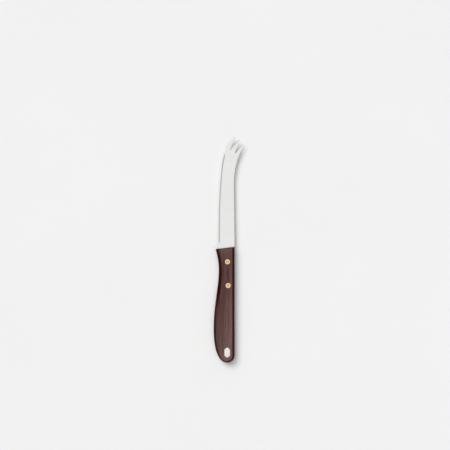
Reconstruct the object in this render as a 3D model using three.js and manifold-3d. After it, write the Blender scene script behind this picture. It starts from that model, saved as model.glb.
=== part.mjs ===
// Citrus knife lying on its right face: a forked, saw-edged steel blade whose half tang is held by two
// rivets in a slot sawn into a one-piece wooden handle, with a plain badge let in near the butt.
// Millimetres. +Y points from the butt to the fork, -X is the cutting side and +Z is up.
// While it is built, X is 0 on the straight spine, Y is 0 where the handle's front end meets the spine,
// and Z is 0 in the middle of the blade. The finished group then sits on Z = 0, centred on its box.
import * as THREE from "three";
import { mergeVertices } from "three/addons/utils/BufferGeometryUtils.js";
import Module from "manifold-3d";

const wasm = await Module();
wasm.setup();

// Handle: widths run from the spine towards the belly, and the front end slants back by FRONT_SLANT
const HANDLE_LENGTH = 112.8;
const HANDLE_THICKNESS = 12;
const HANDLE_FRONT_WIDTH = 18.5;
const HANDLE_WAIST_WIDTH = 15.3;
const HANDLE_BELLY_WIDTH = 20.4;
const WAIST_FROM_FRONT = 22;
const BELLY_FROM_BUTT = 31.8;
const BUTT_CORNER = 7.5;
const FRONT_SLANT = 2.15;
const FLARE_LEAN_DEGREES = 16.6;
const EDGE_ROUND = 3;

// Blade: its length runs from the handle's front end at the spine to the long prong's tip
const BLADE_LENGTH = 107.2;
const BLADE_THICKNESS = 1.5;
const HEEL_WIDTH = 16;
const SHOULDER_WIDTH = 13.45;
const SHOULDER_FROM_TIP = 33.2;
const SHOULDER_LEAN_DEGREES = 5.1;
const SPINE_HOLLOW = 0.6;
const HOLLOW_FROM_TIP = 47.2;

// Fork: each place lies ACROSS from the spine line and BACK from the long prong's tip
const FORK_LEAN_DEGREES = 32;
const LONG_PRONG_ACROSS = 0.35;
const MIDDLE_PRONG_ACROSS = 5.2;
const MIDDLE_PRONG_BACK = 2.8;
const SHORT_PRONG_ACROSS = 9.2;
const SHORT_PRONG_BACK = 6.7;
const OUTER_VALLEY_ACROSS = -3.9;
const OUTER_VALLEY_BACK = 11.9;
const INNER_VALLEY_ACROSS = 0.8;
const INNER_VALLEY_BACK = 15.3;
const LONG_PRONG_EDGE_LEAN_DEGREES = 56;
const SHORT_PRONG_EDGE_LEAN_DEGREES = 26;
const PRONG_TIP_WIDTH = 0.4;
const VALLEY_WIDTH = 0.7;
const PRONG_BOW = 0.4;

// Cutting edge: a long grind thins the sheet towards the teeth, and both ends of the edge are plain
const EDGE_THICKNESS = 0.4;
const GRIND_WIDTH = 7;
const TOOTH_PITCH = 1.95;
const TOOTH_DEPTH = 0.6;
const PLAIN_TIP_LENGTH = 20.5;
const PLAIN_HEEL_LENGTH = 8;

// Half tang and its slot: the tang runs on past the rear rivet, and the heel is seated in the slot
const TANG_PAST_RIVET = 10.5;
const HEEL_SEAT = 1.5;
const SLOT_SIDE_CLEARANCE = 0.1;
const SLOT_END_CLEARANCE = 0.4;

// Rivets: a pin with both ends peened out into countersunk washers, which lie just below the wood
const FRONT_RIVET_FROM_FRONT = 14.4;
const FRONT_RIVET_FROM_SPINE = 6.9;
const RIVET_SPACING = 23.1;
const REAR_RIVET_FROM_SPINE = 6.3;
const PIN_DIAMETER = 2.2;
const PEENED_DIAMETER = 2.9;
const PEENED_DEPTH = 0.6;
const PEENED_CROWN = 0.1;
const WASHER_DIAMETER = 5;
const WASHER_THICKNESS = 1.2;
const WASHER_SINK = 0.15;
const RIVET_CLEARANCE = 0.06;

// Badge: a long six-sided plate in a pocket on the left face
const BADGE_LENGTH = 10.2;
const BADGE_WIDTH = 5.4;
const BADGE_POINT_LENGTH = 2;
const BADGE_CORNER = 0.8;
const BADGE_THICKNESS = 0.6;
const BADGE_PROUD = 0.1;
const BADGE_FROM_BUTT = 10.1;
const BADGE_FROM_SPINE = 7.2;
const BADGE_CLEARANCE = 0.08;

// How far a curve holds its direction at an end, as a share of the run between its two ends
const CURVE_HOLD = 0.4;
const FLARE_HOLD = 0.3;
const WAIST_HOLD = 0.31;
const BELLY_HOLD = 0.46;
const BUTT_HOLD = 0.62;
const LONG_PRONG_HOLD = 0.34;

// Steps of the curved surfaces, and how far a cutter reaches past what it cuts
const CURVE_STEPS = 14;
const ROUND_STEPS = 5;
const TOOTH_STEPS = 4;
const RIVET_FACETS = 32;
const CUT_PAST = 8;

const steel = new THREE.MeshStandardMaterial({ color: 0xe6e6e4, roughness: 0.32, metalness: 0.85 });
const rosewood = new THREE.MeshStandardMaterial({ color: 0x614846, roughness: 0.5, metalness: 0 });
const pinBrass = new THREE.MeshStandardMaterial({ color: 0xd6af78, roughness: 0.35, metalness: 0.9 });
const washerBrass = new THREE.MeshStandardMaterial({ color: 0xe0bc9a, roughness: 0.3, metalness: 0.9 });
const enamel = new THREE.MeshStandardMaterial({ color: 0xf0e3e4, roughness: 0.35, metalness: 0 });

// Places that several pieces share
const handleFace = HANDLE_THICKNESS / 2;
const rearRivetFromFront = FRONT_RIVET_FROM_FRONT + RIVET_SPACING;
const rivets = {
  front: new THREE.Vector2(-FRONT_RIVET_FROM_SPINE, -FRONT_RIVET_FROM_FRONT),
  rear: new THREE.Vector2(-REAR_RIVET_FROM_SPINE, -rearRivetFromFront),
};
const washerFace = handleFace - WASHER_SINK;
const tangEnd = -rearRivetFromFront - TANG_PAST_RIVET;
const heelEnd = -FRONT_SLANT - HEEL_SEAT;
const badgePlace = new THREE.Vector2(-BADGE_FROM_SPINE, BADGE_FROM_BUTT - HANDLE_LENGTH);

// Unit vector in the blade's plane, leaning over from +Y towards the spine side
function leaning(degrees) {
  const angle = THREE.MathUtils.degToRad(degrees);
  return new THREE.Vector2(Math.sin(angle), Math.cos(angle));
}

function stepped(point, direction, distance) {
  return point.clone().addScaledVector(direction, distance);
}

// A closed solid from a three.js geometry, ready for joining and cutting
function solid(geometry) {
  geometry.deleteAttribute("normal");
  geometry.deleteAttribute("uv");
  const merged = mergeVertices(geometry);
  const corners = [];
  for (let first = 0; first < merged.index.count; first += 3) {
    const triangle = [0, 1, 2].map((next) => merged.index.getX(first + next));
    const closesOnAxis = new Set(triangle).size < 3;
    if (!closesOnAxis) corners.push(...triangle);
  }
  const vertProperties = new Float32Array(merged.attributes.position.array);
  const triVerts = new Uint32Array(corners);
  return new wasm.Manifold(new wasm.Mesh({ numProp: 3, vertProperties, triVerts }));
}

function namedMesh(name, body, material) {
  const { vertProperties, triVerts } = body.getMesh();
  const geometry = new THREE.BufferGeometry();
  geometry.setAttribute("position", new THREE.BufferAttribute(new Float32Array(vertProperties), 3));
  geometry.setIndex(new THREE.BufferAttribute(new Uint32Array(triVerts), 1));
  geometry.computeVertexNormals();
  const mesh = new THREE.Mesh(geometry, material);
  mesh.name = name;
  return mesh;
}

// A flat plate of one outline between two heights
function plate(shape, from, to) {
  const settings = { depth: to - from, bevelEnabled: false, curveSegments: CURVE_STEPS };
  return solid(new THREE.ExtrudeGeometry(shape, settings).translate(0, 0, from));
}

// A solid turned about Z, from points given as radius and height
function turned(points) {
  const profile = points.map(([radius, height]) => new THREE.Vector2(radius, height));
  return solid(new THREE.LatheGeometry(profile, RIVET_FACETS).rotateX(Math.PI / 2));
}

function rod(diameter, from, to) {
  const radius = diameter / 2;
  return turned([[0, from], [radius, from], [radius, to], [0, to]]);
}

// A polygon whose corners are eased over the given distance
function easedPolygon(corners, ease) {
  const shape = new THREE.Shape();
  corners.forEach((corner, i) => {
    const before = corners.at(i - 1);
    const after = corners[(i + 1) % corners.length];
    const start = stepped(corner, before.clone().sub(corner).normalize(), ease);
    const end = stepped(corner, after.clone().sub(corner).normalize(), ease);
    if (i === 0) shape.moveTo(start.x, start.y);
    else shape.lineTo(start.x, start.y);
    shape.quadraticCurveTo(corner.x, corner.y, end.x, end.y);
  });
  shape.closePath();
  return shape;
}

// Handle outline, which runs on past the slanted front end to leave stock for its cut
function handleShape() {
  const front = new THREE.Vector2(-HANDLE_FRONT_WIDTH, -FRONT_SLANT);
  const waist = new THREE.Vector2(-HANDLE_WAIST_WIDTH, -WAIST_FROM_FRONT);
  const belly = new THREE.Vector2(-HANDLE_BELLY_WIDTH, BELLY_FROM_BUTT - HANDLE_LENGTH);
  const end = new THREE.Vector2(-BUTT_CORNER, -HANDLE_LENGTH);
  const forward = leaning(-FLARE_LEAN_DEGREES);
  const flare = front.y - waist.y;
  const swell = waist.y - belly.y;
  const turnIn = BUTT_HOLD * BELLY_FROM_BUTT;
  const turnOut = BUTT_HOLD * (HANDLE_BELLY_WIDTH - BUTT_CORNER);
  const corner = BUTT_HOLD * BUTT_CORNER;
  const stock = stepped(front, forward, EDGE_ROUND + CUT_PAST);
  const flareIn = stepped(front, forward, -FLARE_HOLD * flare);
  const shape = new THREE.Shape();
  shape.moveTo(0, stock.y);
  shape.lineTo(stock.x, stock.y);
  shape.lineTo(front.x, front.y);
  shape.bezierCurveTo(flareIn.x, flareIn.y, waist.x, waist.y + FLARE_HOLD * flare, waist.x, waist.y);
  shape.bezierCurveTo(
    waist.x, waist.y - WAIST_HOLD * swell, belly.x, belly.y + BELLY_HOLD * swell, belly.x, belly.y);
  shape.bezierCurveTo(belly.x, belly.y - turnIn, end.x - turnOut, end.y, end.x, end.y);
  shape.bezierCurveTo(
    end.x + corner, end.y, 0, end.y + BUTT_CORNER - corner, 0, end.y + BUTT_CORNER);
  shape.closePath();
  return shape;
}

// Blank with rounded edges, before any cut
function handleBlank() {
  const geometry = new THREE.ExtrudeGeometry(handleShape(), {
    depth: HANDLE_THICKNESS - 2 * EDGE_ROUND,
    bevelThickness: EDGE_ROUND,
    bevelSize: EDGE_ROUND,
    bevelOffset: -EDGE_ROUND,
    bevelSegments: ROUND_STEPS,
    curveSegments: CURVE_STEPS,
  });
  return solid(geometry.translate(0, 0, EDGE_ROUND - handleFace));
}

// Block that takes the stock off ahead of the slanted front end
function frontCut() {
  const reach = HANDLE_FRONT_WIDTH + HANDLE_THICKNESS + EDGE_ROUND + CUT_PAST;
  const block = new THREE.BoxGeometry(2 * reach, reach, 2 * reach).translate(0, reach / 2, 0);
  return solid(block.rotateZ(Math.atan2(FRONT_SLANT, HANDLE_FRONT_WIDTH)));
}

// Saw cut for the tang, open at the front, the spine and the belly
function slotCut() {
  const width = 2 * (HANDLE_FRONT_WIDTH + HANDLE_BELLY_WIDTH + CUT_PAST);
  const rear = tangEnd - SLOT_END_CLEARANCE;
  const length = CUT_PAST - rear;
  const height = BLADE_THICKNESS + 2 * SLOT_SIDE_CLEARANCE;
  return solid(new THREE.BoxGeometry(width, length, height).translate(0, rear + length / 2, 0));
}

// Pin hole, opened out on both faces to seat the washers
function rivetHole() {
  const seat = washerFace - WASHER_THICKNESS - RIVET_CLEARANCE;
  const mouth = WASHER_DIAMETER + 2 * RIVET_CLEARANCE;
  return rod(PIN_DIAMETER + 2 * RIVET_CLEARANCE, -handleFace, handleFace)
    .add(rod(mouth, seat, handleFace + CUT_PAST))
    .add(rod(mouth, -handleFace - CUT_PAST, -seat));
}

function handleBody() {
  let body = handleBlank().subtract(frontCut()).subtract(slotCut());
  for (const place of Object.values(rivets)) {
    body = body.subtract(rivetHole().translate(place.x, place.y, 0));
  }
  const pocketFloor = handleFace + BADGE_PROUD - BADGE_THICKNESS - BADGE_CLEARANCE;
  return body.subtract(plate(badgeShape(BADGE_CLEARANCE), pocketFloor, handleFace + CUT_PAST));
}

// Six-sided badge outline, grown all round by a clearance
function badgeShape(grow) {
  const side = BADGE_WIDTH / 2 + grow;
  const point = BADGE_LENGTH / 2 + grow;
  const shoulder = point - BADGE_POINT_LENGTH;
  const corners = [
    [side, -shoulder], [side, shoulder], [0, point],
    [-side, shoulder], [-side, -shoulder], [0, -point],
  ];
  const placed = corners.map(([x, y]) => new THREE.Vector2(x, y).add(badgePlace));
  return easedPolygon(placed, BADGE_CORNER);
}

function badgeBody() {
  return plate(badgeShape(0), handleFace + BADGE_PROUD - BADGE_THICKNESS, handleFace + BADGE_PROUD);
}

// Place on the fork, and one side of a prong's tip or a valley there
function forkPlace(across, back) {
  return new THREE.Vector2(across, BLADE_LENGTH - back);
}

function forkSide(place, width) {
  return stepped(place, leaning(FORK_LEAN_DEGREES + 90), width / 2);
}

// Cutting edge from the long prong's tip to the heel, before its teeth are ground
function cuttingEdge() {
  const tip = forkSide(forkPlace(LONG_PRONG_ACROSS, 0), -PRONG_TIP_WIDTH);
  const shoulder = forkPlace(-SHOULDER_WIDTH, SHOULDER_FROM_TIP);
  const heel = new THREE.Vector2(-HEEL_WIDTH, heelEnd);
  const forkRun = tip.y - shoulder.y;
  const heelRun = shoulder.y - heel.y;
  const tipLean = leaning(LONG_PRONG_EDGE_LEAN_DEGREES);
  const shoulderLean = leaning(SHOULDER_LEAN_DEGREES);
  const edge = new THREE.CurvePath();
  edge.add(new THREE.CubicBezierCurve(
    tip,
    stepped(tip, tipLean, -LONG_PRONG_HOLD * forkRun),
    stepped(shoulder, shoulderLean, CURVE_HOLD * forkRun),
    shoulder));
  edge.add(new THREE.CubicBezierCurve(
    shoulder,
    stepped(shoulder, shoulderLean, -CURVE_HOLD * heelRun),
    stepped(heel, leaning(0), CURVE_HOLD * heelRun),
    heel));
  return edge;
}

// Points along the cutting edge from the tip to the heel, with a row of hollow teeth between plain ends
function toothedEdge() {
  const edge = cuttingEdge();
  const length = edge.getLength();
  const first = PLAIN_TIP_LENGTH / length;
  const last = 1 - PLAIN_HEEL_LENGTH / length;
  const teeth = Math.round(((last - first) * length) / TOOTH_PITCH);
  const steps = teeth * TOOTH_STEPS;
  const points = [];
  for (let step = 0; step < CURVE_STEPS; step++) {
    points.push(edge.getPoint((first * step) / CURVE_STEPS));
  }
  for (let step = 0; step <= steps; step++) {
    const at = first + ((last - first) * step) / steps;
    const phase = (step % TOOTH_STEPS) / TOOTH_STEPS;
    const along = edge.getTangent(at);
    const inward = new THREE.Vector2(-along.y, along.x);
    points.push(stepped(edge.getPoint(at), inward, 4 * TOOTH_DEPTH * phase * (1 - phase)));
  }
  points.push(edge.getPoint(1));
  return points;
}

// Stamped outline of the blade from the spine round the fork and down the cutting edge
function bladeShape() {
  const hollow = forkPlace(-SPINE_HOLLOW, HOLLOW_FROM_TIP);
  const shortTip = forkPlace(SHORT_PRONG_ACROSS, SHORT_PRONG_BACK);
  const middleTip = forkPlace(MIDDLE_PRONG_ACROSS, MIDDLE_PRONG_BACK);
  const longTip = forkPlace(LONG_PRONG_ACROSS, 0);
  const innerValley = forkPlace(INNER_VALLEY_ACROSS, INNER_VALLEY_BACK);
  const outerValley = forkPlace(OUTER_VALLEY_ACROSS, OUTER_VALLEY_BACK);
  const sweep = shortTip.y - hollow.y;
  const spineEnd = forkSide(shortTip, PRONG_TIP_WIDTH);
  const spineIn = stepped(spineEnd, leaning(SHORT_PRONG_EDGE_LEAN_DEGREES), -CURVE_HOLD * sweep);
  const shape = new THREE.Shape();
  shape.moveTo(0, heelEnd);
  shape.lineTo(0, 0);
  shape.bezierCurveTo(
    0, CURVE_HOLD * hollow.y, hollow.x, (1 - CURVE_HOLD) * hollow.y, hollow.x, hollow.y);
  shape.bezierCurveTo(
    hollow.x, hollow.y + CURVE_HOLD * sweep, spineIn.x, spineIn.y, spineEnd.x, spineEnd.y);
  addGap(shape, shortTip, innerValley, middleTip);
  addGap(shape, middleTip, outerValley, longTip);
  for (const point of toothedEdge()) shape.lineTo(point.x, point.y);
  shape.closePath();
  return shape;
}

// One gap of the fork, from the near side of one prong's tip down to the valley and out to the next prong
function addGap(shape, fromTip, valley, toTip) {
  const ends = [
    forkSide(fromTip, -PRONG_TIP_WIDTH),
    forkSide(valley, VALLEY_WIDTH),
    forkSide(valley, -VALLEY_WIDTH),
    forkSide(toTip, PRONG_TIP_WIDTH),
  ];
  shape.lineTo(ends[0].x, ends[0].y);
  addBowedSide(shape, ends[0], ends[1]);
  shape.lineTo(ends[2].x, ends[2].y);
  addBowedSide(shape, ends[2], ends[3]);
}

function addBowedSide(shape, from, to) {
  const middle = from.clone().lerp(to, 0.5);
  const control = forkSide(middle, -2 * PRONG_BOW);
  shape.quadraticCurveTo(control.x, control.y, to.x, to.y);
}

// Sheet with the long grind along its cutting side, larger than the blade on every other side. It leaves
// the edge at the shoulder and runs straight on, so that the grind fades out towards the fork.
function groundSheet() {
  const shoulder = forkPlace(-SHOULDER_WIDTH, SHOULDER_FROM_TIP);
  const [, heelCurve] = cuttingEdge().curves;
  const far = SHORT_PRONG_ACROSS + GRIND_WIDTH + CUT_PAST;
  const low = heelEnd - GRIND_WIDTH - CUT_PAST;
  const lean = leaning(SHOULDER_LEAN_DEGREES);
  const high = stepped(shoulder, lean, SHOULDER_FROM_TIP + GRIND_WIDTH + CUT_PAST);
  const shape = new THREE.Shape();
  shape.moveTo(far, low);
  shape.lineTo(far, high.y);
  shape.lineTo(high.x, high.y);
  shape.lineTo(shoulder.x, shoulder.y);
  shape.bezierCurveTo(
    heelCurve.v1.x, heelCurve.v1.y, heelCurve.v2.x, heelCurve.v2.y, heelCurve.v3.x, heelCurve.v3.y);
  shape.lineTo(heelCurve.v3.x, low);
  shape.closePath();
  const taper = (BLADE_THICKNESS - EDGE_THICKNESS) / 2;
  const geometry = new THREE.ExtrudeGeometry(shape, {
    depth: EDGE_THICKNESS,
    bevelThickness: taper,
    bevelSize: GRIND_WIDTH,
    bevelOffset: -GRIND_WIDTH,
    bevelSegments: 1,
    curveSegments: CURVE_STEPS,
  });
  return solid(geometry.translate(0, 0, -EDGE_THICKNESS / 2));
}

// Half tang, as wide as the heel but ground flush with the handle where that is narrower. It starts
// inside the slot, and keeps the full thickness of the sheet.
function tangBody() {
  const start = heelEnd + HEEL_SEAT / 2;
  const length = start - tangEnd;
  const strip = new THREE.BoxGeometry(HEEL_WIDTH, length, 2 * BLADE_THICKNESS);
  strip.translate(-HEEL_WIDTH / 2, tangEnd + length / 2, 0);
  return plate(handleShape(), -BLADE_THICKNESS / 2, BLADE_THICKNESS / 2).intersect(solid(strip));
}

function bladeBody() {
  const blank = plate(bladeShape(), -BLADE_THICKNESS, BLADE_THICKNESS);
  let body = blank.intersect(groundSheet()).add(tangBody());
  const hole = rod(PIN_DIAMETER + 2 * RIVET_CLEARANCE, -BLADE_THICKNESS, BLADE_THICKNESS);
  for (const place of Object.values(rivets)) {
    body = body.subtract(hole.translate(place.x, place.y, 0));
  }
  return body;
}

// Pin along Z with crowned, peened ends
function pinBody() {
  const shank = PIN_DIAMETER / 2;
  const peened = PEENED_DIAMETER / 2;
  const neck = washerFace - PEENED_DEPTH;
  const crown = washerFace + PEENED_CROWN;
  return turned([
    [0, -crown], [shank / 2, -crown], [peened, -washerFace], [shank, -neck],
    [shank, neck], [peened, washerFace], [shank / 2, crown], [0, crown],
  ]);
}

// Washer with its countersink up, standing on the wood that it seats in
function washerBody() {
  const outer = WASHER_DIAMETER / 2;
  const bore = PIN_DIAMETER / 2 + RIVET_CLEARANCE;
  const mouth = PEENED_DIAMETER / 2 + RIVET_CLEARANCE;
  const foot = washerFace - WASHER_THICKNESS;
  const neck = washerFace - PEENED_DEPTH;
  return turned([
    [bore, foot], [outer, foot], [outer, washerFace],
    [mouth, washerFace], [bore, neck], [bore, foot],
  ]);
}

const knife = new THREE.Group();
knife.add(namedMesh("blade", bladeBody(), steel));
knife.add(namedMesh("handle", handleBody(), rosewood));
knife.add(namedMesh("badge", badgeBody(), enamel));

for (const [end, place] of Object.entries(rivets)) {
  const rivet = new THREE.Group();
  const left = namedMesh(`${end}_washer_left`, washerBody(), washerBrass);
  const right = namedMesh(`${end}_washer_right`, washerBody(), washerBrass);
  right.rotation.x = Math.PI;
  rivet.add(namedMesh(`${end}_pin`, pinBody(), pinBrass), left, right);
  rivet.position.set(place.x, place.y, 0);
  knife.add(rivet);
}

const bounds = new THREE.Box3().setFromObject(knife);
const middle = bounds.getCenter(new THREE.Vector3());
knife.position.set(-middle.x, -middle.y, -bounds.min.z);

export default knife;
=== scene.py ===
# %% [markdown]
# A citrus knife, lying on its right face: a steel blade with a fine saw edge and a forked tip, held by two
# brass rivets in a handle of dark wood, with a small white badge let in near the butt.
# The measured solids come first. They are the fixed frame: every new piece is made where its
# solid is, in metres, and then stands in for it.

# %% Load the measured solids
import math

import bmesh
import bpy
from mathutils import Matrix, Vector
from mathutils.geometry import interpolate_bezier


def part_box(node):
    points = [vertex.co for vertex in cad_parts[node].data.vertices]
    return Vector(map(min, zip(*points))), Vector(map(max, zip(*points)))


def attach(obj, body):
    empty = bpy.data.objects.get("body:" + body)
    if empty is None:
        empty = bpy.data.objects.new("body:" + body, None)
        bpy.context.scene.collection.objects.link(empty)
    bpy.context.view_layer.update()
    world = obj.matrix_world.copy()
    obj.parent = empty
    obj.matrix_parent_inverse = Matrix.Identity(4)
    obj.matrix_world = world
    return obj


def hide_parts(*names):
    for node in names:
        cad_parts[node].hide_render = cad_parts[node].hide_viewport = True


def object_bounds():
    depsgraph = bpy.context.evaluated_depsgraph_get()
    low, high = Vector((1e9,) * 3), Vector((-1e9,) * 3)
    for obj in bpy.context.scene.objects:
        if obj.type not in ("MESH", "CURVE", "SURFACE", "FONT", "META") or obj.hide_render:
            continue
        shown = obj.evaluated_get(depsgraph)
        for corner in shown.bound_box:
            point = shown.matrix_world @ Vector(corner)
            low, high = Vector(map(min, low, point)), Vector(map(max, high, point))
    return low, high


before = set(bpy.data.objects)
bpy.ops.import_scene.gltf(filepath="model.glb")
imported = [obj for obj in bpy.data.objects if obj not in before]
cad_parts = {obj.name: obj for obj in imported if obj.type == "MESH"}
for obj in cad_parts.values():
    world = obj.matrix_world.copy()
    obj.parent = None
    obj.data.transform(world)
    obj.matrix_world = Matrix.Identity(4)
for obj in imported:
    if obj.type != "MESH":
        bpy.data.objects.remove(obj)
cad_low, cad_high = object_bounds()
print("solids:", ", ".join(sorted(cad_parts)))

# %% [markdown]
# A cutler measures a knife from its spine and from the front end of its handle, so the same is done here.
# The boxes of the solids give those lines, and `place` turns millimetres from them into a point of the
# frame. `up` counts from the middle plane of the blade, because the knife is alike above and below it.

# %% Measure from the spine and the handle's front end
MM = 0.001

handle_low, handle_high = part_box("handle")
blade_low, blade_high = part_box("blade")
spine_x = handle_high.x
front_y = handle_high.y
middle_z = (blade_low.z + blade_high.z) / 2
handle_length = (handle_high.y - handle_low.y) / MM
handle_width = (handle_high.x - handle_low.x) / MM
handle_face = (handle_high.z - handle_low.z) / MM / 2
blade_face = (blade_high.z - blade_low.z) / MM / 2


def place(across, along, up=0.0):
    return Vector((spine_x + across * MM, front_y + along * MM, middle_z + up * MM))


print(f"handle {handle_length:.1f} x {handle_width:.1f} x {2 * handle_face:.1f} mm")

# %% [markdown]
# The photograph looks straight down, so the camera hangs over the knife with a long lens, which hardly
# changes the proportions. Its height follows from the lens and from the width that the picture takes in.

# %% Hang the camera
PICTURE_WIDTH = 437.6 * MM
PICTURE_ACROSS = -9.34
PICTURE_ALONG = 21.39
LENS = 100.0
SENSOR = 36.0

scene = bpy.context.scene
bpy.ops.object.select_all(action="DESELECT")
camera_height = PICTURE_WIDTH * LENS / SENSOR
camera_place = place(PICTURE_ACROSS, PICTURE_ALONG, handle_face) + Vector((0, 0, camera_height))
bpy.ops.object.camera_add(location=camera_place, rotation=(0, 0, 0))
camera = bpy.context.object
camera.name = "camera"
camera.data.lens = LENS
camera.data.sensor_width = SENSOR
scene.camera = camera
scene.view_settings.view_transform = "Standard"
print(f"camera {camera_height:.2f} m above the handle")

# %% [markdown]
# The light is a plain studio. One large soft lamp at the upper left throws the shadow to the lower right. A
# sun lamp with a wide angle does that evenly over the whole floor. It stands behind a diffuser, so it shows
# in no gloss.

# %% Hang the key lamp
KEY_POWER = 1.79
KEY_SOFTNESS = math.radians(34)
KEY_FROM = Vector((-0.48, 0.62, 1.15))

bpy.ops.object.light_add(type="SUN", location=KEY_FROM)
key = bpy.context.object
key.name = "key_lamp"
key.data.energy = KEY_POWER
key.data.angle = KEY_SOFTNESS
key.visible_glossy = False
key.rotation_euler = KEY_FROM.to_track_quat("Z", "Y").to_euler()
print(f"key lamp from {math.degrees(KEY_FROM.angle((0, 0, 1))):.0f} degrees off the vertical")

# %% [markdown]
# The room and all the finishes are networks of nodes, and every network here is built from the same few
# moves. `add_node` adds a node and feeds its inputs, by a link where the value is another node's socket.
# `combine` does sums with two values, and `mix` lays one colour over another.

# %% Tools for networks of nodes


def feed(tree, socket, value):
    if isinstance(value, bpy.types.NodeSocket):
        tree.links.new(value, socket)
    else:
        socket.default_value = value


def add_node(tree, kind, inputs=None, **settings):
    made = tree.nodes.new("ShaderNode" + kind)
    for name, value in settings.items():
        setattr(made, name, value)
    for name, value in (inputs or {}).items():
        feed(tree, made.inputs[name], value)
    return made


def combine(tree, operation, first, second):
    return add_node(tree, "Math", {0: first, 1: second}, operation=operation).outputs["Value"]


def mix(tree, share, first, second, blend_type="MIX"):
    mixed = add_node(
        tree, "Mix", {"Factor": share, "A": first, "B": second}, data_type="RGBA", blend_type=blend_type)
    return mixed.outputs["Result"]


print("node tools ready")

# %% [markdown]
# The rest of the light comes from a room with a bright panel right overhead and dim walls. Both are painted
# on the world by how high a ray looks, which lights the whole floor evenly. Light from overhead also reaches
# the floor close beside the handle. The walls at the two ends of the knife are brighter than the others,
# because their light reaches it on both sides. Lamp and room together light a level surface so that its
# colour renders about as it is written.
# What the camera and the gloss see is another painting: a pale backdrop that carries on the floor, grey
# walls that give the steel its form, and a wide white ceiling. Light Path tells the two apart.

# %% Paint the room
SIDE_LIGHT_BY_RISE = ((0.0, 0.05), (0.88, 0.05), (0.97, 2.45))
END_LIGHT_BY_RISE = ((0.0, 0.6), (0.88, 0.6), (0.97, 2.45))
SEEN_BY_RISE = ((0.0, 0.88), (0.1, 0.88), (0.3, 0.5), (0.72, 0.5), (0.88, 1.0))

world = bpy.data.worlds.new("studio_room")
scene.world = world
world.use_nodes = True
room = world.node_tree
looking = add_node(room, "TexCoord").outputs["Generated"]
rise = add_node(room, "SeparateXYZ", {"Vector": looking})


def painted(stops):
    paint = add_node(room, "ValToRGB", {"Fac": rise.outputs["Z"]})
    while len(paint.color_ramp.elements) < len(stops):
        paint.color_ramp.elements.new(0.5)
    for mark, (stop, level) in zip(paint.color_ramp.elements, stops):
        mark.position = stop
        mark.color = (level, level, level, 1)
    return paint.outputs["Color"]


towards_end = combine(room, "MULTIPLY", rise.outputs["Y"], rise.outputs["Y"])
light = mix(room, towards_end, painted(SIDE_LIGHT_BY_RISE), painted(END_LIGHT_BY_RISE))
ray = add_node(room, "LightPath")
mirrored = combine(room, "MAXIMUM", ray.outputs["Is Glossy Ray"], ray.outputs["Is Transmission Ray"])
looked_at = combine(room, "MAXIMUM", ray.outputs["Is Camera Ray"], mirrored)
feed(room, room.nodes["Background"].inputs["Color"], mix(room, looked_at, light, painted(SEEN_BY_RISE)))
print("room painted with", len(room.nodes), "nodes")

# %% [markdown]
# Outlines are traced first and cut out afterwards. A trace is made of straight runs and Bezier bends
# between a few named places. That needs no drawing by hand, and every point stays tied to a named size.

# %% Tools for tracing


def leaning(degrees):
    angle = math.radians(degrees)
    return Vector((math.sin(angle), math.cos(angle)))


def bend(start, start_handle, end_handle, end, steps):
    return interpolate_bezier(start, start_handle, end_handle, end, steps + 1)[:-1]


def run(start, end, steps):
    return [start.lerp(end, step / steps) for step in range(steps)]


print("tracing tools ready")

# %% [markdown]
# To cut a trace out of a sheet, a circle with as many corners as the trace has points is added, each corner
# is moved onto the trace, and the flat face is extruded to its thickness. `done` turns all normals outwards
# after an edit. `tell` counts faces and open edges, because a solid piece has to stay closed.

# %% Tools for cutting out


def edit(piece, mode):
    bpy.ops.object.select_all(action="DESELECT")
    piece.select_set(True)
    bpy.context.view_layer.objects.active = piece
    bpy.ops.object.mode_set(mode="EDIT")
    bpy.ops.mesh.select_mode(type=mode)
    bpy.ops.mesh.select_all(action="DESELECT")
    return bmesh.from_edit_mesh(piece.data)


def done():
    bpy.ops.mesh.select_all(action="SELECT")
    bpy.ops.mesh.normals_make_consistent(inside=False)
    bpy.ops.mesh.select_all(action="DESELECT")
    bpy.ops.object.mode_set(mode="OBJECT")


def raise_sheet(low, high):
    bpy.ops.mesh.select_all(action="SELECT")
    bpy.ops.mesh.extrude_region_move(TRANSFORM_OT_translate={"value": (0, 0, (high - low) * MM)})
    done()


def new_sheet(name, outline, low):
    bpy.ops.object.select_all(action="DESELECT")
    bpy.ops.mesh.primitive_circle_add(vertices=len(outline), radius=MM, fill_type="NGON")
    piece = bpy.context.object
    piece.name = name
    piece.data.name = name
    for corner, point in zip(piece.data.vertices, outline):
        corner.co = place(point.x, point.y, low)
    return piece


def cut_out(name, outline, low, high):
    piece = new_sheet(name, outline, low)
    edit(piece, "FACE")
    raise_sheet(low, high)
    return piece


def open_edges(piece):
    mesh = bmesh.new()
    mesh.from_mesh(piece.data)
    count = sum(not edge.is_manifold for edge in mesh.edges)
    mesh.free()
    return count


def tell(piece):
    print(f"{piece.name}: {len(piece.data.polygons)} faces, {open_edges(piece)} open edges")


print("cutting tools ready")

# %% [markdown]
# The handle is one board, shaped on a spindle: a straight spine, a waist behind the flared front end, a
# full belly and a round butt. Its outline runs on past the front end, which is sawn off at a slant later.

# %% Trace the handle
FRONT_WIDTH = 18.5
FRONT_SLANT = 2.15
FLARE_LEAN = -16.6
WAIST_WIDTH = 15.3
WAIST_FROM_FRONT = 22.0
BELLY_FROM_BUTT = 31.8
BUTT_CORNER = 7.5
FLARE_HOLD = 0.3
WAIST_HOLD = 0.31
BELLY_HOLD = 0.46
BUTT_HOLD = 0.62
FRONT_STOCK = 11.0
FRONT_CLEAR = 4.0

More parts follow.
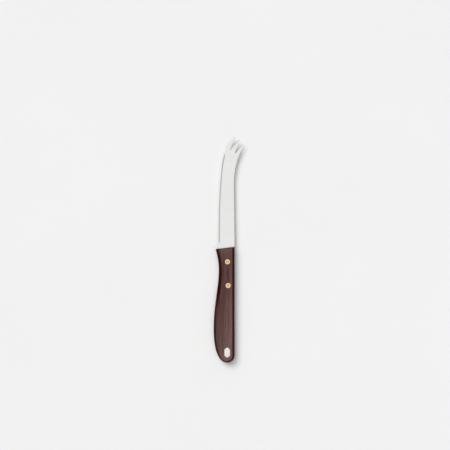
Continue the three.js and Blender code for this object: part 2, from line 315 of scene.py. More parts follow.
front = Vector((-FRONT_WIDTH, -FRONT_SLANT))
waist = Vector((-WAIST_WIDTH, -WAIST_FROM_FRONT))
belly = Vector((-handle_width, BELLY_FROM_BUTT - handle_length))
butt = Vector((-BUTT_CORNER, -handle_length))
spine_end = Vector((0, BUTT_CORNER - handle_length))
flare = (front.y - waist.y) * FLARE_HOLD
swell = waist.y - belly.y
stock = front + leaning(FLARE_LEAN) * FRONT_STOCK

belly_side = bend(
    front, front - leaning(FLARE_LEAN) * flare, waist + Vector((0, flare)), waist, steps=16)
belly_side += bend(
    waist, waist - Vector((0, WAIST_HOLD * swell)), belly + Vector((0, BELLY_HOLD * swell)), belly, steps=32)
long_round = bend(
    belly, belly - Vector((0, BUTT_HOLD * BELLY_FROM_BUTT)),
    butt - Vector((BUTT_HOLD * (handle_width - BUTT_CORNER), 0)), butt, steps=28)
short_round = bend(
    butt, butt + Vector((BUTT_HOLD * BUTT_CORNER, 0)),
    spine_end - Vector((0, BUTT_HOLD * BUTT_CORNER)), spine_end, steps=12)
spine = run(spine_end, Vector((0, -FRONT_CLEAR)), steps=44)
front_stock = [Vector((0, -FRONT_CLEAR)), Vector((0, stock.y)), stock]
handle_outline = belly_side[1:] + long_round + short_round + spine + front_stock

handle = cut_out("wooden_handle", handle_outline, -handle_face, handle_face)
tell(handle)

# %% [markdown]
# Long edges are rounded with a bevel of many small steps, like a router bit. The edges to round are picked
# in code by their place, so the tools take a test that says which edges are wanted.

# %% Tools for rounding edges
TOUCHING = 0.01


def pick_edges(piece, wanted):
    mesh = edit(piece, "EDGE")
    picked = [edge for edge in mesh.edges if wanted(edge)]
    for edge in picked:
        edge.select_set(True)
    bmesh.update_edit_mesh(piece.data)
    return len(picked)


def soften(piece, wanted, width, segments):
    count = pick_edges(piece, wanted)
    bpy.ops.mesh.bevel(
        offset=width * MM, segments=segments, profile=0.5, affect="EDGES", clamp_overlap=False)
    done()
    return count


def at_height(*heights):
    def wanted(edge):
        ends = [(corner.co.z - middle_z) / MM for corner in edge.verts]
        return any(max(abs(end - height) for end in ends) < TOUCHING for height in heights)
    return wanted


print(f"places closer than {TOUCHING} mm count as one")

# %% [markdown]
# On the belly side the waist is sanded rounder still, because the fingers lie there: the rows of the bevel
# move in, each by a share of its distance from the outline, and the move fades out towards the belly.

# %% Round the long edges and sand the waist
EDGE_ROUND = 3.0
EDGE_STEPS = 10
SANDED_MORE = 0.35
SANDED_END = -62.0
SANDED_FULL = -42.0
BELLY_SIDE = -9.0


def clamped(value):
    return min(1.0, max(0.0, value))


def round_lean(corner):
    up = abs(corner.co.z - middle_z) / MM
    return math.acos(clamped((up - handle_face + EDGE_ROUND) / EDGE_ROUND))


def on_belly_side(corner):
    return corner.co.x < place(BELLY_SIDE, 0).x


def sanding(corner):
    along = (corner.co.y - front_y) / MM
    share = clamped((along - SANDED_END) / (SANDED_FULL - SANDED_END))
    return share * share * (3 - 2 * share)


rounded = soften(handle, at_height(handle_face, -handle_face), EDGE_ROUND, EDGE_STEPS)
for corner in filter(on_belly_side, handle.data.vertices):
    from_outline = EDGE_ROUND * (1 - math.sin(round_lean(corner)))
    corner.co.x += SANDED_MORE * sanding(corner) * from_outline * MM
print(f"{rounded} edges rounded")
tell(handle)

# %% [markdown]
# A bisect saws the front end at its slant and fills the cut, and a second, much smaller bevel takes the
# sharpness off the sawn edge.

# %% Saw the front end
FRONT_EASE = 0.7
FRONT_EASE_STEPS = 4
SAW_FINENESS = 0.0001

saw_normal = Vector((-FRONT_SLANT, FRONT_WIDTH, 0)).normalized()
edit(handle, "EDGE")
bpy.ops.mesh.select_all(action="SELECT")
bpy.ops.mesh.bisect(
    plane_co=place(0, 0), plane_no=saw_normal, use_fill=True, clear_outer=True, threshold=SAW_FINENESS * MM)
done()


def on_saw_cut(edge):
    return all(abs((corner.co - place(0, 0)).dot(saw_normal)) < TOUCHING * MM for corner in edge.verts)


sawn = soften(handle, on_saw_cut, FRONT_EASE, FRONT_EASE_STEPS)
print(f"{sawn} sawn edges eased")
tell(handle)

# %% [markdown]
# A flat face next to a round one needs a narrow border, or the smooth shading of the round creeps over the
# flat. An inset of the two flat faces and of the sawn end gives that border.

# %% Border the flat faces
BORDER = 0.25
FLAT = 0.9999

mesh = edit(handle, "FACE")
for face in mesh.faces:
    if abs(face.normal.z) > FLAT or face.normal.dot(saw_normal) > FLAT:
        face.select_set(True)
bmesh.update_edit_mesh(handle.data)
bpy.ops.mesh.inset(thickness=BORDER * MM, depth=0)
done()
tell(handle)

# %% [markdown]
# Now the joinery. Every cut is a Boolean with a cutter of its own, which is how a hole is drilled in a real
# board too: the tool is a plain shape, and what it leaves is not. Cutters run well past the faces, so that
# no cut ends just on one.

# %% Tools for cutting away
ROUND_FACETS = 64


def cut_away(piece, cutter):
    bpy.ops.object.select_all(action="DESELECT")
    piece.select_set(True)
    bpy.context.view_layer.objects.active = piece
    cut = piece.modifiers.new("cut", "BOOLEAN")
    cut.operation = "DIFFERENCE"
    cut.solver = "MANIFOLD"
    cut.object = cutter
    bpy.ops.object.modifier_apply(modifier=cut.name)
    bpy.data.objects.remove(cutter)


def drill(piece, spot, radius, low, high):
    bpy.ops.object.select_all(action="DESELECT")
    bpy.ops.mesh.primitive_cylinder_add(
        vertices=ROUND_FACETS, radius=radius * MM, depth=(high - low) * MM,
        location=place(spot.x, spot.y, (low + high) / 2))
    cut_away(piece, bpy.context.object)


print("drills have", ROUND_FACETS, "facets")

# %% [markdown]
# A saw slot takes the tang, and each rivet has a hole that is opened out on both faces for its washers.
# Their places and sizes come from the boxes of the solids, so every hole meets the rivet that goes into it.

# %% Saw the slot and drill for the rivets
CLEAR = 0.06
PIN_RADIUS = 1.1
SLOT_HALF = 0.85
SLOT_REAR = -48.4
SLOT_ACROSS = 100.0
PAST = 8.0


def spot_of(node):
    low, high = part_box(node)
    return Vector((((low.x + high.x) / 2 - spine_x) / MM, ((low.y + high.y) / 2 - front_y) / MM))


def size_of(node):
    low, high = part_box(node)
    return (high - low) / MM


rivets = {end: spot_of(f"{end}_pin") for end in ("front", "rear")}
washer_low, washer_high = ((corner.z - middle_z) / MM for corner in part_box("front_washer_left"))
washer_radius = size_of("front_washer_left").x / 2
peened_radius = size_of("front_pin").x / 2
pin_top = size_of("front_pin").z / 2

bpy.ops.object.select_all(action="DESELECT")
slot_length = PAST - SLOT_REAR
bpy.ops.mesh.primitive_cube_add(size=1, location=place(0, SLOT_REAR + slot_length / 2))
saw = bpy.context.object
saw.scale = (SLOT_ACROSS * MM, slot_length * MM, 2 * SLOT_HALF * MM)
cut_away(handle, saw)
for spot in rivets.values():
    drill(handle, spot, PIN_RADIUS + CLEAR, -handle_face - PAST, handle_face + PAST)
    drill(handle, spot, washer_radius + CLEAR, washer_low - CLEAR, handle_face + PAST)
    drill(handle, spot, washer_radius + CLEAR, -handle_face - PAST, CLEAR - washer_low)
tell(handle)

# %% [markdown]
# The badge is a six-sided plate with eased corners. Its trace starts as a six-cornered sheet, and a bevel
# of the corners alone eases them before the sheet is raised. The pocket is the same trace, a little larger,
# so both come from one function.

# %% Make the badge and its pocket
BADGE_CORNER = 0.8
BADGE_CORNER_STEPS = 6
BADGE_POINT = 2.0
BADGE_SHARP_LENGTH = 10.2
BADGE_CLEAR = 0.08
BADGE_RIM = 0.12
BADGE_RIM_STEPS = 3

badge_spot = spot_of("badge")
badge_width = size_of("badge").x
badge_low, badge_high = ((corner.z - middle_z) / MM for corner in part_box("badge"))


def six_sided(name, grow, low, high):
    side = badge_width / 2 + grow
    tip = BADGE_SHARP_LENGTH / 2 + grow
    shoulder = tip - BADGE_POINT
    corners = (
        (side, -shoulder), (side, shoulder), (0, tip), (-side, shoulder), (-side, -shoulder), (0, -tip))
    plate = new_sheet(name, [badge_spot + Vector(corner) for corner in corners], low)
    edit(plate, "VERT")
    bpy.ops.mesh.select_all(action="SELECT")
    bpy.ops.mesh.bevel(offset=BADGE_CORNER * MM, segments=BADGE_CORNER_STEPS, affect="VERTICES")
    raise_sheet(low, high)
    return plate


badge = six_sided("badge_plate", 0, badge_low, badge_high)
soften(badge, at_height(badge_high), BADGE_RIM, BADGE_RIM_STEPS)
cut_away(handle, six_sided("pocket", BADGE_CLEAR, badge_low - BADGE_CLEAR, handle_face + PAST))
tell(badge)
tell(handle)

# %% [markdown]
# The blade starts as a stamping: one sheet with the spine, the three prongs of the fork, the cutting edge
# without its teeth, and the half tang that runs back into the handle. Its places are named first, the way a
# die is set out: across from the line of the spine, and back from the tip of the long prong.

# %% Set out the blade
FORK_LEAN = 32.0
TIP_WIDTH = 0.4
VALLEY_WIDTH = 0.7
HEEL_WIDTH = 16.0
HEEL_SEAT = 1.5

fork_across = leaning(FORK_LEAN + 90)
fork_ahead = leaning(FORK_LEAN)
tip_rise = -fork_across.y * TIP_WIDTH / 2
blade_length = (blade_high.y - front_y) / MM - tip_rise
long_tip = Vector((0.35, blade_length))
middle_tip = Vector((5.2, blade_length - 2.8))
short_tip = Vector((9.2, blade_length - 6.7))
outer_valley = Vector((-3.9, blade_length - 11.9))
inner_valley = Vector((0.8, blade_length - 15.3))
hollow = Vector((-0.6, blade_length - 47.2))
shoulder = Vector((-13.45, blade_length - 33.2))
heel = Vector((-HEEL_WIDTH, -FRONT_SLANT - HEEL_SEAT))
print(f"blade {blade_length:.1f} mm from the handle to the long prong")

# %% [markdown]
# Prong tips and the valleys between them are small half rounds, and the sides of the prongs bow a little.
# So the fork is traced from tip to tip with the same few moves.

# %% Trace the fork
PRONG_BOW = 0.4
BOW_STEPS = 10
HALF_ROUND_STEPS = 6


def half_round(centre, across, along):
    turns = [math.pi * step / HALF_ROUND_STEPS for step in range(HALF_ROUND_STEPS)]
    return [centre + across * math.cos(turn) + along * math.sin(turn) for turn in turns]


def prong_tip(point):
    radius = TIP_WIDTH / 2
    return half_round(point - fork_ahead * radius, fork_across * radius, fork_ahead * radius)


def valley_floor(point):
    radius = VALLEY_WIDTH / 2
    return half_round(point, fork_across * radius, -fork_ahead * radius)


def tip_side(point, side):
    return point + fork_across * side * TIP_WIDTH / 2 - fork_ahead * TIP_WIDTH / 2


def valley_side(point, side):
    return point + fork_across * side * VALLEY_WIDTH / 2


def bowed(start, end):
    middle = start.lerp(end, 0.5) - fork_across * PRONG_BOW
    return bend(start, start.lerp(middle, 2 / 3), end.lerp(middle, 2 / 3), end, BOW_STEPS)


def gap(from_tip, valley, to_tip):
    down = bowed(tip_side(from_tip, -1), valley_side(valley, 1))
    up = bowed(valley_side(valley, -1), tip_side(to_tip, 1))
    return down + valley_floor(valley) + up


fork = prong_tip(short_tip) + gap(short_tip, inner_valley, middle_tip)
fork += prong_tip(middle_tip) + gap(middle_tip, outer_valley, long_tip) + prong_tip(long_tip)
print(len(fork), "points round the fork")

# %% [markdown]
# The spine runs straight out of the handle, dips a little and sweeps up to the fork. The edge comes back
# from the long prong in one curve, turns at the shoulder and goes on almost straight to the heel. Inside
# the handle the tang keeps the heel's width, but follows the handle's own outline where the waist is
# narrower.

# %% Trace the blade and cut it out
SPINE_TIP_LEAN = 26.0
EDGE_TIP_LEAN = 56.0
EDGE_TIP_HOLD = 0.34
SHOULDER_LEAN = 5.1
CURVE_HOLD = 0.4
TANG_END = -48.0

sweep = short_tip.y - hollow.y
spine_tip = tip_side(short_tip, 1)
spine_handle = spine_tip - leaning(SPINE_TIP_LEAN) * CURVE_HOLD * sweep
hold_hollow = Vector((0, CURVE_HOLD * hollow.y))
blade_spine = run(Vector((0, TANG_END)), Vector((0, 0)), steps=12)
blade_spine += bend(Vector((0, 0)), hold_hollow, hollow - hold_hollow, hollow, steps=20)
blade_spine += bend(hollow, hollow + Vector((0, CURVE_HOLD * sweep)), spine_handle, spine_tip, steps=24)

edge_tip = tip_side(long_tip, -1)
fork_run = edge_tip.y - shoulder.y
heel_run = shoulder.y - heel.y
edge_ahead = leaning(SHOULDER_LEAN)
plain_edge = bend(
    edge_tip, edge_tip - leaning(EDGE_TIP_LEAN) * EDGE_TIP_HOLD * fork_run,
    shoulder + edge_ahead * CURVE_HOLD * fork_run, shoulder, steps=30)
saw_edge = bend(
    shoulder, shoulder - edge_ahead * CURVE_HOLD * heel_run, heel + Vector((0, CURVE_HOLD * heel_run)),
    heel, steps=48)
tang_side = [point for point in belly_side if point.x > -HEEL_WIDTH and point.y > TANG_END]
tang_end = [Vector((-HEEL_WIDTH, tang_side[-1].y)), Vector((-HEEL_WIDTH, TANG_END))]
tang = [heel, Vector((-HEEL_WIDTH, tang_side[0].y))] + tang_side + tang_end
blade_outline = blade_spine + fork + plain_edge + saw_edge + tang

blade = cut_out("saw_blade", blade_outline, -blade_face, blade_face)
tell(blade)

# %% [markdown]
# Stamped edges are tumbled until they no longer bite, so all of the outline but the cutting edge gets a
# very small bevel. The cutting edge is told from the rest by its place.

# %% Tumble the rims
RIM_EASE = 0.12
RIM_STEPS = 2

cutting_places = [place(point.x, point.y) for point in plain_edge[1:] + saw_edge]


def on_cutting_edge(corner):
    return any((corner.co.xy - spot.xy).length < TOUCHING * MM for spot in cutting_places)


def on_rim(edge):
    flat_edge = abs(edge.verts[0].co.z - edge.verts[1].co.z) < TOUCHING * MM
    return flat_edge and not any(on_cutting_edge(corner) for corner in edge.verts)


tumbled = soften(blade, on_rim, RIM_EASE, RIM_STEPS)
print(tumbled, "rim edges eased")
tell(blade)

# %% [markdown]
# The long grind thins the sheet from 1.5 mm to 0.4 mm over the last 7 mm before the edge. A wheel takes a
# wedge off each face: here the wedge is a grid whose rows follow the cutting edge, extruded into a block.
# Past the shoulder the wheel runs straight on while the edge curves away, so the grind fades at the fork.

# %% Grind both faces
EDGE_HALF = 0.2
GRIND_WIDTH = 7.0
WHEEL_PAST = 2.0
WHEEL_BLOCK = 3.0
WHEEL_REACH = 50.0

wheel_path = list(reversed(saw_edge))
wheel_path += run(shoulder + edge_ahead, shoulder + edge_ahead * WHEEL_REACH, steps=12)
grind_slope = (blade_face - EDGE_HALF) / GRIND_WIDTH


def inward(path, index):
    ahead = path[min(index + 1, len(path) - 1)] - path[max(index - 1, 0)]
    return Vector((ahead.y, -ahead.x)).normalized()


def wheel(side):
    bpy.ops.object.select_all(action="DESELECT")
    bpy.ops.mesh.primitive_grid_add(x_subdivisions=1, y_subdivisions=len(wheel_path) - 1, size=MM)
    block = bpy.context.object
    for index, corner in enumerate(block.data.vertices):
        row = index // 2
        reach = GRIND_WIDTH + WHEEL_PAST if index % 2 else -WHEEL_PAST
        point = wheel_path[row] + inward(wheel_path, row) * reach
        corner.co = place(point.x, point.y, side * (EDGE_HALF + grind_slope * reach))
    edit(block, "FACE")
    raise_sheet(0, side * WHEEL_BLOCK)
    return block


for side in (1, -1):
    cut_away(blade, wheel(side))
tell(blade)

# %% [markdown]
# The saw teeth begin a little behind the fork and stop before the heel. Their pitch is evened out, so that
# whole teeth fill that stretch, and `along_edge` finds the middle of each one on the curved edge.

# %% Set out the teeth
TOOTH_PITCH = 1.95
TOOTH_DEPTH = 0.6
PLAIN_TIP = 20.5
PLAIN_HEEL = 8.0

whole_edge = plain_edge + saw_edge + [heel]
edge_steps = [(end - start).length for start, end in zip(whole_edge, whole_edge[1:])]
toothed = sum(edge_steps) - PLAIN_TIP - PLAIN_HEEL
tooth_count = round(toothed / TOOTH_PITCH)
tooth_pitch = toothed / tooth_count
notch_radius = ((tooth_pitch / 2) ** 2 + TOOTH_DEPTH ** 2) / (2 * TOOTH_DEPTH)


def along_edge(distance):
    for start, end, length in zip(whole_edge, whole_edge[1:], edge_steps):
        if distance <= length:
            return start.lerp(end, distance / length), (start - end).normalized()
        distance -= length
    return heel, Vector((0, 1))


print(f"{tooth_count} teeth of {tooth_pitch:.2f} mm, notch radius {notch_radius:.2f} mm")

# %% [markdown]
# The teeth are ground in two passes. A round stone held upright bites a row of notches, which meet in
# points, and a smaller stone held at a slant then hollows each notch from the left face, so that the points
# are thin. One stone is modelled for each pass, and a copy of it lies at every tooth. Neighbouring stones
# may overlap, so the odd teeth are cut first and the even ones after them.

# %% Grind the teeth
UPRIGHT = math.radians(90)
HOLLOW_RADIUS = 0.6
HOLLOW_SLANT = math.radians(24)
STONE_LENGTH = 8.0
STONE_FACETS = 48


def stone_stand(number, radius, slant):
    point, ahead = along_edge(PLAIN_TIP + (number + 0.5) * tooth_pitch)
    sideways = Vector((ahead.y, -ahead.x))
    spot = point + sideways * (TOOTH_DEPTH - radius * math.sin(slant))
    axis = Vector((sideways.x * math.cos(slant), sideways.y * math.cos(slant), math.sin(slant)))
    tangent = Vector((ahead.x, ahead.y, 0))
    turn = Matrix((tangent, axis.cross(tangent), axis)).transposed().to_4x4()
    return Matrix.Translation(place(spot.x, spot.y, radius * math.cos(slant) - EDGE_HALF)) @ turn


def grind(radius, slant):
    bpy.ops.object.select_all(action="DESELECT")
    bpy.ops.mesh.primitive_cylinder_add(
        vertices=STONE_FACETS, radius=radius * MM, depth=STONE_LENGTH * MM, location=(0, 0, 0))
    stone = bpy.context.object
    for first in (0, 1):
        row = []
        for number in range(first, tooth_count, 2):
            copy = stone.copy()
            copy.data = stone.data.copy()
            copy.matrix_world = stone_stand(number, radius, slant)
            scene.collection.objects.link(copy)
            row.append(copy)
        bpy.ops.object.select_all(action="DESELECT")
        for copy in row:
            copy.select_set(True)
        bpy.context.view_layer.objects.active = row[0]
        bpy.ops.object.join()
        cut_away(blade, bpy.context.object)
    bpy.data.objects.remove(stone)


grind(notch_radius, UPRIGHT)
grind(HOLLOW_RADIUS, HOLLOW_SLANT)
for spot in rivets.values():
    drill(blade, spot, PIN_RADIUS + CLEAR, -handle_face, handle_face)
tell(blade)

# %% [markdown]
# Rivets are turned parts, so they are built up ring by ring from a circle: each step extrudes the ring,
# moves it along the axis and scales it. The washer closes onto its first ring, and the pin ends in two
# flats. The pin's head is hammered into the washer's countersink and keeps a low crown.

# %% Turn the washers and the pins
WASHER_EASE = 0.08
PEENED_DEPTH = 0.6
CROWN = ((0.92, 0.45), (0.75, 0.8), (0.5, 1.0))


def turned(name, spot, profile, hollow_bore):
    radius, up = profile[0]
    fill = "NOTHING" if hollow_bore else "NGON"
    bpy.ops.object.select_all(action="DESELECT")
    bpy.ops.mesh.primitive_circle_add(vertices=ROUND_FACETS, radius=radius * MM, fill_type=fill)
    part = bpy.context.object
    part.name = name
    part.data.name = name
    part.data.transform(Matrix.Translation(place(spot.x, spot.y, up)))
    edit(part, "EDGE")
    bpy.ops.mesh.select_all(action="SELECT")
    for next_radius, next_up in profile[1:]:
        bpy.ops.mesh.extrude_region_move(TRANSFORM_OT_translate={"value": (0, 0, (next_up - up) * MM)})
        share = next_radius / radius
        bpy.ops.transform.resize(value=(share, share, 1), center_override=place(spot.x, spot.y, next_up))
        radius, up = next_radius, next_up
    bpy.ops.mesh.select_all(action="SELECT")
    bpy.ops.mesh.remove_doubles(threshold=TOUCHING * MM)
    done()
    return part


def turned_over(profile):
    return [(radius, -up) for radius, up in profile]


bore = PIN_RADIUS + CLEAR
mouth = peened_radius + CLEAR
neck = washer_high - PEENED_DEPTH
crown = pin_top - washer_high
washer_profile = [
    (bore, washer_low), (washer_radius, washer_low), (washer_radius, washer_high - WASHER_EASE),
    (washer_radius - WASHER_EASE, washer_high), (mouth, washer_high), (bore, neck), (bore, washer_low)]
upper_pin = [(PIN_RADIUS, neck), (peened_radius, washer_high)]
upper_pin += [(width * peened_radius, washer_high + height * crown) for width, height in CROWN]
pin_profile = turned_over(reversed(upper_pin)) + upper_pin

washers = {}
pins = {}
for end, spot in rivets.items():
    pins[end] = turned(f"{end}_rivet_pin", spot, pin_profile, False)
    washers[end, "left"] = turned(f"{end}_rivet_washer_left", spot, washer_profile, True)
    washers[end, "right"] = turned(f"{end}_rivet_washer_right", spot, turned_over(washer_profile), True)
for part in list(pins.values()) + list(washers.values()):
    tell(part)

# %% [markdown]
# Every piece now rides on the knife's one body and stands in for its solid. Smooth shading by angle keeps
# the rounds soft and the cut edges crisp. The grind meets the flat of the blade at under five degrees, too
# little for that angle, so the edges of the flats are marked sharp as well.

# %% Stand the pieces in for their solids
SMOOTH_ANGLE = math.radians(25)
BLADE_SMOOTH_ANGLE = math.radians(15)

new_pieces = [(handle, "handle", "wood"), (blade, "blade", "steel"), (badge, "badge", "badge")]
new_pieces += [(pin, f"{end}_pin", "pin_brass") for end, pin in pins.items()]
new_pieces += [(ring, f"{end}_washer_{side}", "washer_brass") for (end, side), ring in washers.items()]


def borders_flat(edge):
    level = [abs(face.normal.z) > FLAT for face in edge.link_faces]
    return any(level) and not all(level)


for piece, node, slot in new_pieces:
    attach(piece, "root")
    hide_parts(node)
    bpy.ops.object.select_all(action="DESELECT")
    piece.select_set(True)
    bpy.context.view_layer.objects.active = piece
    bpy.ops.object.shade_smooth_by_angle(angle=BLADE_SMOOTH_ANGLE if piece is blade else SMOOTH_ANGLE)
sharp = pick_edges(blade, borders_flat)
bpy.ops.mesh.mark_sharp()
done()
print(len(new_pieces), "pieces stand in for their solids;", sharp, "sharp edges on the blade")

# %% [markdown]
# Two effects serve more than one finish, so they are node groups, built once. `fibres` is noise stretched
# along the knife: wood grain and the drawn lines of the steel. `handling` is soft mottling from use.

# %% Shared effects


def new_effect(name, sockets):
    effect = bpy.data.node_groups.new(name, "ShaderNodeTree")
    for socket, kind in sockets.items():
        effect.interface.new_socket(name=socket, in_out="INPUT", socket_type=kind)
    effect.interface.new_socket(name="Mask", in_out="OUTPUT", socket_type="NodeSocketFloat")
    return effect, effect.nodes.new("NodeGroupInput").outputs, effect.nodes.new("NodeGroupOutput").inputs


fibres, given, result = new_effect("fibres", {
    "Vector": "NodeSocketVector", "Across": "NodeSocketFloat", "Along": "NodeSocketFloat",
    "Low": "NodeSocketFloat", "High": "NodeSocketFloat"})
stretch = add_node(fibres, "CombineXYZ", {"X": given["Across"], "Y": given["Along"], "Z": given["Across"]})
stretched = add_node(
    fibres, "VectorMath", {0: given["Vector"], 1: stretch.outputs["Vector"]}, operation="MULTIPLY")
fibre_noise = add_node(fibres, "TexNoise", {
    "Vector": stretched.outputs["Vector"], "Scale": 1.0, "Detail": 3.0, "Roughness": 0.55})
fibre_range = add_node(fibres, "MapRange", {
    "Value": fibre_noise.outputs["Fac"], "From Min": given["Low"], "From Max": given["High"]})
feed(fibres, result["Mask"], fibre_range.outputs["Result"])

handling, given, result = new_effect("handling", {"Vector": "NodeSocketVector", "Size": "NodeSocketFloat"})
patches = add_node(handling, "TexNoise", {
    "Vector": given["Vector"], "Scale": given["Size"], "Detail": 4.0, "Roughness": 0.6})
patch_range = add_node(handling, "MapRange", {
    "Value": patches.outputs["Fac"], "From Min": 0.35, "From Max": 0.65})
feed(handling, result["Mask"], patch_range.outputs["Result"])
print("effects:", fibres.name, handling.name)

# %% [markdown]
# A finish starts as Blender's own Principled shader. What is the same all over is set on the shader itself,
# and what changes over the surface is a mask that `spread` moves into the range that a socket needs.
# Patterns read Object coordinates, so they stay in the piece when the knife is moved.

# %% Tools for finishes


def new_finish(name, constants):
    finish = bpy.data.materials.new(name)
    finish.use_nodes = True
    tree = finish.node_tree
    shader = tree.nodes["Principled BSDF"].inputs
    for socket, value in constants.items():
        shader[socket].default_value = value
    where = add_node(tree, "TexCoord").outputs["Object"]
    return finish, tree, shader, where


def place_effect(tree, effect, inputs):
    made = tree.nodes.new("ShaderNodeGroup")
    made.node_tree = effect
    for name, value in inputs.items():
        feed(tree, made.inputs[name], value)
    return made.outputs["Mask"]


def spread(tree, value, low, high, start=0.0, end=1.0):
    ranges = {"Value": value, "From Min": start, "From Max": end, "To Min": low, "To Max": high}
    return add_node(tree, "MapRange", ranges).outputs["Result"]


def marked(tree, attribute):
    return add_node(tree, "Attribute", attribute_name=attribute).outputs["Fac"]


def blend_colours(tree, mask, low, high, middle=None):
    ramp = add_node(tree, "ValToRGB", {"Fac": mask})
    ramp.color_ramp.elements[0].color = (*low, 1)
    ramp.color_ramp.elements[1].color = (*high, 1)
    if middle:
        ramp.color_ramp.elements.new(0.5).color = (*middle, 1)
    return ramp.outputs["Color"]


def roughen(tree, shader, height, strength, depth):
    bump = add_node(tree, "Bump", {"Height": height, "Strength": strength, "Distance": depth * MM})
    feed(tree, shader["Normal"], bump.outputs["Normal"])


print("finishing tools ready")

# %% [markdown]
# The handle's rounded edges are painted darker than its flats, which is painted shade, and they are made
# duller.
# Where they are is a matter of shape, so an attribute on the corners marks them. At the butt the painted
# shade starts further round the edge. It is weaker along the belly than at the waist, and it fades on the
# upright sides.

# %% Mark the painted shade on the rounded edges of the handle
ROUNDED_FROM = math.radians(7)
ROUNDED_SPAN = math.radians(13)
BUTT_KEEPS = math.radians(14)
BELLY_KEEPS = 0.3
UPRIGHT_FROM = math.radians(55)
SIDES_KEEP = 0.4


def faces_butt(corner):
    sideways = corner.normal.xy.normalized()
    return max(0.0, -sideways.y - max(0.0, sideways.x))


rim_shade = handle.data.attributes.new("rim_shade", "FLOAT", "POINT")
for corner, mark in zip(handle.data.vertices, rim_shade.data):
    lean = round_lean(corner)
    # This mark darkens the rounded edges as painted shade.
    wear_and_rim_shade = clamped((lean - ROUNDED_FROM - BUTT_KEEPS * faces_butt(corner)) / ROUNDED_SPAN)
    belly_weakening = BELLY_KEEPS * (1 - sanding(corner)) if on_belly_side(corner) else 0.0
    upright = clamped((lean - UPRIGHT_FROM) / (UPRIGHT - UPRIGHT_FROM))
    mark.value = wear_and_rim_shade * (1 - belly_weakening) * (1 - SIDES_KEEP * upright)
print("rounding marked on", len(rim_shade.data), "corners")

# %% [markdown]
# The wood is a dense reddish brown. Its grain runs along the handle and wanders slightly: broad bands, fine
# strands, a few dark veins and short open pores, which are all the same effect at different scales. Behind
# the rivets the board is paler towards its spine and darker towards its belly. Both ends are painted paler
# as a painted sheen, the butt most of all. All of this is summed up in one tone, from dark to pale, which
# the rest follows.

# %% Lay out the grain of the wood
GRAIN_TURN = math.radians(1.5)
GRAIN_WANDER = 3.0
PALER_FROM = -55.0
PALER_SIDE = -12.0
PALER_LEAN = Vector((1.0, -0.1, 0.0))
PALEST_FROM = -101.0
FRONT_PALE_TO = -14.0

wood, tree, shader, where = new_finish("oiled_dark_wood", {
    "Specular IOR Level": 0.0, "Coat Roughness": 0.22, "Coat IOR": 1.6})
straight = add_node(tree, "Mapping", {"Vector": where, "Rotation": (0, 0, GRAIN_TURN)}).outputs["Vector"]
wander = add_node(tree, "TexNoise", {"Vector": straight, "Scale": 28.0, "Detail": 2.0}).outputs["Fac"]
wander_by = add_node(tree, "CombineXYZ", {"X": spread(tree, wander, -GRAIN_WANDER * MM, GRAIN_WANDER * MM)})
grain = add_node(tree, "VectorMath", {0: straight, 1: wander_by.outputs["Vector"]}, operation="ADD")


def grain_lines(across, along, low, high):
    return place_effect(tree, fibres, {
        "Vector": grain.outputs["Vector"], "Across": across, "Along": along, "Low": low, "High": high})


bands = grain_lines(across=540.0, along=11.0, low=0.36, high=0.64)
strands = grain_lines(across=1500.0, along=34.0, low=0.3, high=0.7)
veins = grain_lines(across=430.0, along=24.0, low=0.57, high=0.68)
pores = grain_lines(across=2600.0, along=130.0, low=0.6, high=0.7)
fine = combine(tree, "ADD", spread(tree, bands, 0.0, 0.32), spread(tree, strands, 0.26, 0.58))
figure = combine(tree, "SUBTRACT", fine, spread(tree, veins, 0.0, 0.22))

paler_low, paler_high = (place(side, PALER_FROM).dot(PALER_LEAN) for side in (PALER_SIDE, 0))
slanted = add_node(tree, "VectorMath", {0: where, 1: PALER_LEAN}, operation="DOT_PRODUCT").outputs["Value"]
along = add_node(tree, "SeparateXYZ", {"Vector": where}).outputs["Y"]
towards_spine = spread(tree, slanted, -0.2, 0.44, start=paler_low, end=paler_high)
towards_butt = spread(tree, along, 0.0, 1.0, start=front_y, end=place(0, PALER_FROM).y)
streak = combine(tree, "MULTIPLY", towards_spine, towards_butt)
# The paler ends are painted sheen.
butt_sheen = spread(tree, along, 0.0, 0.45, start=place(0, PALEST_FROM).y, end=handle_low.y)
front_sheen = spread(tree, along, 0.0, 0.2, start=place(0, FRONT_PALE_TO).y, end=front_y)
ends = combine(tree, "ADD", butt_sheen, front_sheen)
tone = combine(tree, "ADD", figure, combine(tree, "ADD", streak, ends))
print("grain laid out with", len(tree.nodes), "nodes")

# %% [markdown]
# The colour follows the tone, and the pores take up more stain. The rim mask darkens the rounded edges as
# painted shade. The wood is oiled to a satin sheen, which is a coat over a dull ground: the smooth fibres
# shine, the pores and the rounded edges hardly do. Towards the butt the palm has polished dark and pale
# grain alike, so the least sheen rises.

# %% Stain and oil the wood
WOOD_DARK = (0.022, 0.0042, 0.0036)
WOOD_MIDDLE = (0.076, 0.021, 0.018)
WOOD_PALE = (0.13, 0.05, 0.044)

rim_shade_mask = marked(tree, "rim_shade")
open_pores = spread(tree, pores, 1.0, 0.45)
